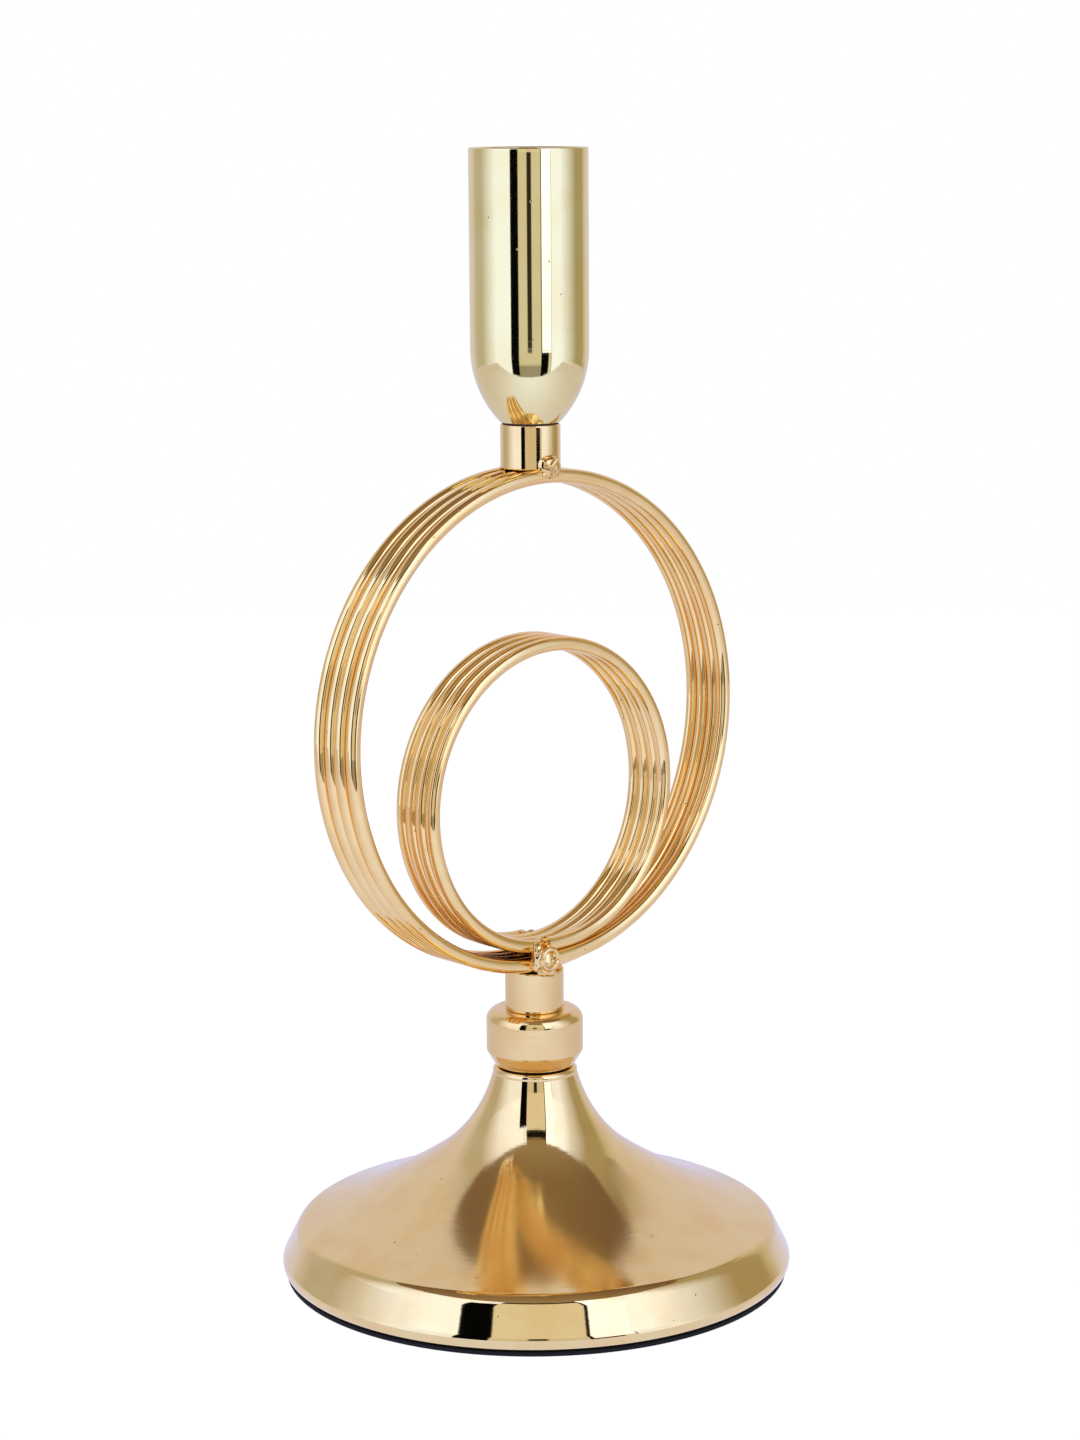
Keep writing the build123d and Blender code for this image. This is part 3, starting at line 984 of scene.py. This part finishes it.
# %% Set up the cards
FLAG_FORWARD = 0.005
BACKDROP_TOP = 1.66
FRONT_FOOT_TOP = -0.05
FRONT_CARD_TOP = 0.30
FRONT_ABOVE_TOP = 0.84
BLACK_FLAG_TOP = 0.75
COOL_WHITE = "#D8E4FF"
COOL_LEVEL = 1.52
HOT_LEVEL = 1.75
WARM_WHITE = "#DAD7C7"
BLACK = "#060606"
STRIP_FOOT = 0.125

paper_roll = {"fade_left": 14, "fade_right": 14, "forward": -0.10, "flat": True}
card("backdrop", 126, 246, CARD_FOOT, BACKDROP_TOP, "#DDD6D2", **paper_roll)
# The side cards are no lamps: their grey glow is painted light.
card("left_side", -136, -66, CARD_FOOT, CARD_TOP, "#C2BFB2", fade_left=14, forward=-0.06)
card("right_side", 56, 142, CARD_FOOT, CARD_TOP, "#AEA481", fade_right=20, forward=-0.06)
card("left_softbox", -102, -28, CARD_FOOT, SOFTBOX_SPLIT, COOL_WHITE, COOL_LEVEL, fade_left=36)
card("left_softbox_above", -106, -28, SOFTBOX_SPLIT, CARD_TOP, COOL_WHITE, COOL_LEVEL, fade_left=28)
card("right_softbox", 42, 101, CARD_FOOT, CARD_TOP, COOL_WHITE, COOL_LEVEL, fade_right=39)
card("left_hot_spot", -76, -28, SOFTBOX_SPLIT, CARD_TOP, COOL_WHITE, HOT_LEVEL, fade_left=26, forward=0.003)
card("right_hot_spot", 42, 74, SOFTBOX_SPLIT, CARD_TOP, COOL_WHITE, HOT_LEVEL, fade_right=22, forward=0.003)
# The front cards are no lamps, so their glow is painted light; below the table's level it is halved as
# painted shade.
card("front_foot", -28, 23, CARD_FOOT, FRONT_FOOT_TOP, WARM_WHITE, 0.5)
card("front_card", -28, 23, FRONT_FOOT_TOP, FRONT_CARD_TOP, WARM_WHITE)
card("front_card_above", -28, 23, FRONT_CARD_TOP, FRONT_ABOVE_TOP, "#E8E4D4")
card("front_top_flag", -28, 23, FRONT_ABOVE_TOP, FLAG_TOP, BLACK)
card("strip_light", 23, 42, STRIP_FOOT, CARD_TOP, "#E4EAFF", 2.0)
card("strip_foot", 23, 37, CARD_FOOT, STRIP_FOOT, BLACK)
card("strip_foot_pale", 37, 42, CARD_FOOT, STRIP_FOOT, WARM_WHITE)
flag("black_flag", -36, -20, CARD_FOOT, BLACK_FLAG_TOP, BLACK, 0.7)
card("black_flag_top", -28.5, -20, BLACK_FLAG_TOP, CARD_TOP, COOL_WHITE, COOL_LEVEL, forward=FLAG_FORWARD)
flag("camera_shade", -4.5, 5.5, STRIP_FOOT, FRONT_CARD_TOP, "#2C2A22", 1.5)
flag("thin_flag", 22, 24.2, CARD_FOOT, CARD_TOP, BLACK, 0.4)
flag("softbox_frame", 41.8, 43, CARD_FOOT, FRONT_CARD_TOP, "#4A3C22", 0.5)

# %% [markdown]
# ## Ceiling, table and world
# The dark ceiling shows in the steep part of the base's flare, where the metal looks straight up. The
# table is white to the camera and keeps the holder's shadow, because part of it is plain white paint.
# The metal sees it as a lit table, brightest in front and falling off to the sides and behind.

# %% Level planes
PLANE_CELLS = 36


def graded_plane(name, material, half, front, back, z, fall):
    """A level plane that faces the camera's way, with a fall of light written on its points."""
    shape = bmesh.new()
    fall_layer = shape.verts.layers.float.new("fall")
    spots = {}
    for column in range(PLANE_CELLS + 1):
        for line in range(PLANE_CELLS + 1):
            x = half * (2 * column / PLANE_CELLS - 1)
            y = -front + (back + front) * line / PLANE_CELLS
            vertex = shape.verts.new(Matrix.Rotation(CAMERA_AZIMUTH, 3, "Z") @ Vector((x, y, z)))
            vertex[fall_layer] = fall(x, y)
            spots[column, line] = vertex
    for column in range(PLANE_CELLS):
        for line in range(PLANE_CELLS):
            corners = [(column, line), (column + 1, line), (column + 1, line + 1), (column, line + 1)]
            shape.faces.new([spots[corner] for corner in corners])
    return stage_mesh(name, shape, material)


# %% Ceiling
CEILING_Z = 2.7
CEILING_R = 3


def ceiling_light_fall(x, y):
    """Painted light: the ceiling's glow falls from a lighter front to a darker back."""
    return min(1, max(0, 0.5 + y / CEILING_R))


# The ceiling is no lamp: its glow, lighter in front and darker behind, is painted light.
dim_ceiling, tree = stage_material("dim_ceiling")
fall = add(tree, "ShaderNodeAttribute", attribute_name="fall")
dimmed = add(
    tree,
    "ShaderNodeMix",
    {0: fall.outputs["Fac"], 6: daylight("#9C8A6A"), 7: daylight("#745B41")},
    data_type="RGBA",
)
glow = add(tree, "ShaderNodeEmission", {"Color": dimmed.outputs[2]})
add(tree, "ShaderNodeOutputMaterial", {"Surface": glow.outputs[0]})
ceiling = graded_plane("ceiling", dim_ceiling, CEILING_R, CEILING_R, CEILING_R, CEILING_Z, ceiling_light_fall)
ceiling.visible_camera = False
print("ceiling at", CEILING_Z, "m")

# %% Table
TABLE_FRONT = 0.31  # from the stem towards the camera
TABLE_BACK = 0.9
TABLE_HALF = 0.8
POOL_FRONT = 0.27  # the middle of the pool of light on the table
POOL_HALF = 0.36
POOL_DEPTH = 0.26
PAPER_GLOW = 1.12  # with the shade of the paint, this is white to the camera
GLOW_SHARE = 0.85
LIT_LEVEL = 1.22


def table_fall(x, y):
    """A round pool of light before the holder."""
    return math.exp(-((x / POOL_HALF) ** 2) - ((y + POOL_FRONT) / POOL_DEPTH) ** 2)


def mirror_rays(tree):
    """The tree's Light Path node, and a value that is 1 for what shows in metal and glass."""
    rays = add(tree, "ShaderNodeLightPath")
    mirrored = add(
        tree,
        "ShaderNodeMath",
        {0: rays.outputs["Is Glossy Ray"], 1: rays.outputs["Is Transmission Ray"]},
        operation="MAXIMUM",
    )
    return rays, mirrored


white_table, tree = stage_material("white_table")
rays, mirrored = mirror_rays(tree)
fall = add(tree, "ShaderNodeAttribute", attribute_name="fall")
paint = add(tree, "ShaderNodeBsdfDiffuse", {"Color": linear("#F2F2F2")})
glow = add(tree, "ShaderNodeEmission", {"Color": (1, 1, 1, 1), "Strength": PAPER_GLOW})
seen_white = add(tree, "ShaderNodeMixShader", {0: GLOW_SHARE, 1: paint.outputs[0], 2: glow.outputs[0]})
table_tone = add(
    tree,
    "ShaderNodeMix",
    {0: fall.outputs["Fac"], 6: daylight("#C5BFC0"), 7: daylight("#E1E9FF")},
    data_type="RGBA",
)
lit = add(tree, "ShaderNodeEmission", {"Color": table_tone.outputs[2], "Strength": LIT_LEVEL})
camera_side = add(
    tree,
    "ShaderNodeMixShader",
    {0: rays.outputs["Is Camera Ray"], 1: paint.outputs[0], 2: seen_white.outputs[0]},
)
table_look = add(
    tree, "ShaderNodeMixShader", {0: mirrored.outputs[0], 1: camera_side.outputs[0], 2: lit.outputs[0]}
)
add(tree, "ShaderNodeOutputMaterial", {"Surface": table_look.outputs[0]})

table = graded_plane("table", white_table, TABLE_HALF, TABLE_FRONT, TABLE_BACK, 0, table_fall)
print("table from", -TABLE_FRONT, "to", TABLE_BACK, "m")

# %% World
WORLD_LEVEL = 0.5  # as light on the holder; the camera and the metal see it white

world = bpy.data.worlds.new("studio")
bpy.context.scene.world = world
world.use_nodes = True
tree = world.node_tree
tree.nodes.clear()
rays, mirrored = mirror_rays(tree)
seen = add(
    tree, "ShaderNodeMath", {0: mirrored.outputs[0], 1: rays.outputs["Is Camera Ray"]}, operation="MAXIMUM"
)
level = add(tree, "ShaderNodeMapRange", {"Value": seen.outputs[0], "To Min": WORLD_LEVEL, "To Max": 1.0})
sky = add(tree, "ShaderNodeBackground", {"Color": (1, 1, 1, 1), "Strength": level.outputs[0]})
add(tree, "ShaderNodeOutputWorld", {"Surface": sky.outputs[0]})
print("world lights the holder at", WORLD_LEVEL)
